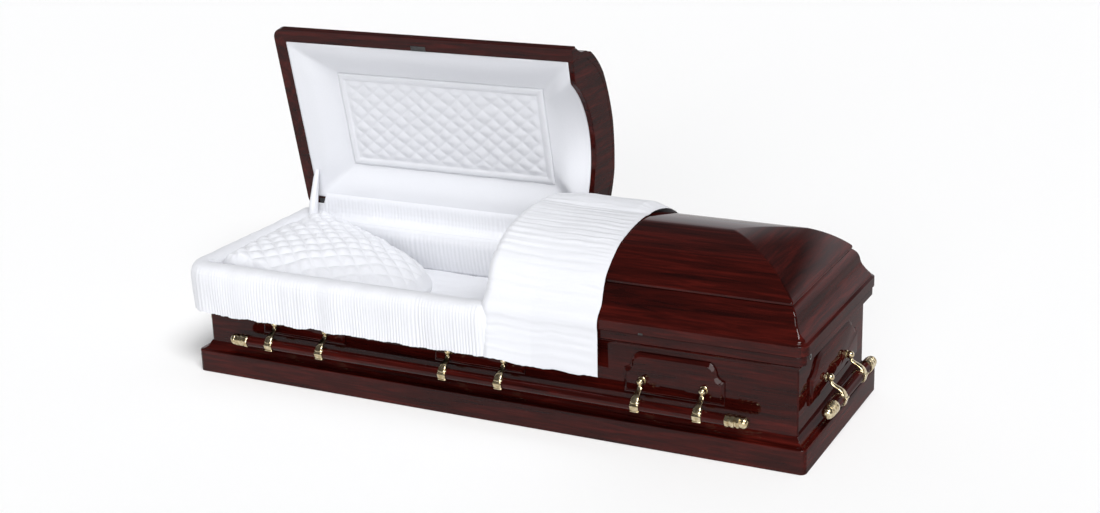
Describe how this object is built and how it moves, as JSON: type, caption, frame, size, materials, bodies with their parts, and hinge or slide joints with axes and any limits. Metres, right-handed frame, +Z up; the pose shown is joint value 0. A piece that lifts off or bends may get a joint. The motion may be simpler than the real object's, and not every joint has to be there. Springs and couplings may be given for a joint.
{
  "type": "funeral casket",
  "caption": "Half-couch wooden funeral casket with a hinged hipped lid in two parts, swing-bar handles and a white quilted and pleated cloth interior.",
  "frame": {"origin": "centre of the base moulding's underside", "axes": "+Z up, +X along the length towards the foot end, -Y towards the front, where the lids open; the head lid is stored open at 78 degrees and the foot lid closed"},
  "size_m": [2.206, 0.909, 1.0628],
  "materials": {
    "polished_wood": "high gloss red cherry stain under clear lacquer",
    "inner_wood": "plain unstained board",
    "antique_brass": "antique brushed brass",
    "white_crepe": "matt white crepe",
    "black_metal": "black enamel"
  },
  "bodies": {
    "casket": {"base_plinth": "polished_wood", "floor_board": "inner_wood", "front_wall": "polished_wood", "back_wall": "polished_wood", "head_wall": "polished_wood", "foot_wall": "polished_wood", "top_rim": "polished_wood", "front_plaque_head": "polished_wood", "front_plaque_centre": "polished_wood", "front_plaque_foot": "polished_wood", "back_plaque_head": "polished_wood", "back_plaque_centre": "polished_wood", "back_plaque_foot": "polished_wood", "head_plaque": "polished_wood", "foot_plaque": "polished_wood", "front_lugs": "antique_brass", "back_lugs": "antique_brass", "head_lugs": "antique_brass", "foot_lugs": "antique_brass", "key_escutcheon": "black_metal", "body_hinge_leaves": "antique_brass", "mattress": "white_crepe", "pillow": "white_crepe", "body_lining": "white_crepe", "skirt": "white_crepe", "hinge_apron": "white_crepe", "stay_sleeve": "white_crepe"},
    "head_lid": {"head_lid": "polished_wood", "head_header": "polished_wood", "head_lid_lining": "white_crepe", "head_lid_panel": "white_crepe", "head_lid_hinges": "antique_brass", "head_lid_strike": "black_metal", "stay_bracket": "black_metal"},
    "foot_lid": {"foot_lid": "polished_wood", "foot_header": "polished_wood", "foot_lid_lining": "white_crepe", "foot_lid_panel": "white_crepe", "foot_lid_hinges": "antique_brass", "foot_lid_latch": "black_metal", "throw": "white_crepe"},
    "front_handle": {"front_arms": "antique_brass", "front_bar": "polished_wood", "front_tip_head": "antique_brass", "front_tip_foot": "antique_brass"},
    "back_handle": {"back_arms": "antique_brass", "back_bar": "polished_wood", "back_tip_head": "antique_brass", "back_tip_foot": "antique_brass"},
    "head_handle": {"head_arms": "antique_brass", "head_bar": "polished_wood", "head_tip_front": "antique_brass", "head_tip_back": "antique_brass"},
    "foot_handle": {"foot_arms": "antique_brass", "foot_bar": "polished_wood", "foot_tip_front": "antique_brass", "foot_tip_back": "antique_brass"}
  },
  "joints": [
    {"name": "head_lid_hinge", "type": "hinge", "parent": "casket", "child": "head_lid", "pos_m": [-0.49, 0.36, 0.3688], "axis": [1, 0, 0], "range_deg": [0, 78], "deforming": ["stay_sleeve", "hinge_apron"]},
    {"name": "foot_lid_hinge", "type": "hinge", "parent": "casket", "child": "foot_lid", "pos_m": [0.58, 0.36, 0.3688], "axis": [-1, 0, 0], "range_deg": [0, 78]},
    {"name": "front_handle_swing", "type": "hinge", "parent": "casket", "child": "front_handle", "pos_m": [0, -0.34, 0.205], "axis": [-1, 0, 0], "range_deg": [0, 50]},
    {"name": "back_handle_swing", "type": "hinge", "parent": "casket", "child": "back_handle", "pos_m": [0, 0.34, 0.205], "axis": [1, 0, 0], "range_deg": [0, 50]},
    {"name": "head_handle_swing", "type": "hinge", "parent": "casket", "child": "head_handle", "pos_m": [-1.05, 0, 0.205], "axis": [0, 1, 0], "range_deg": [0, 50]},
    {"name": "foot_handle_swing", "type": "hinge", "parent": "casket", "child": "foot_handle", "pos_m": [1.05, 0, 0.205], "axis": [0, -1, 0], "range_deg": [0, 50]}
  ]
}
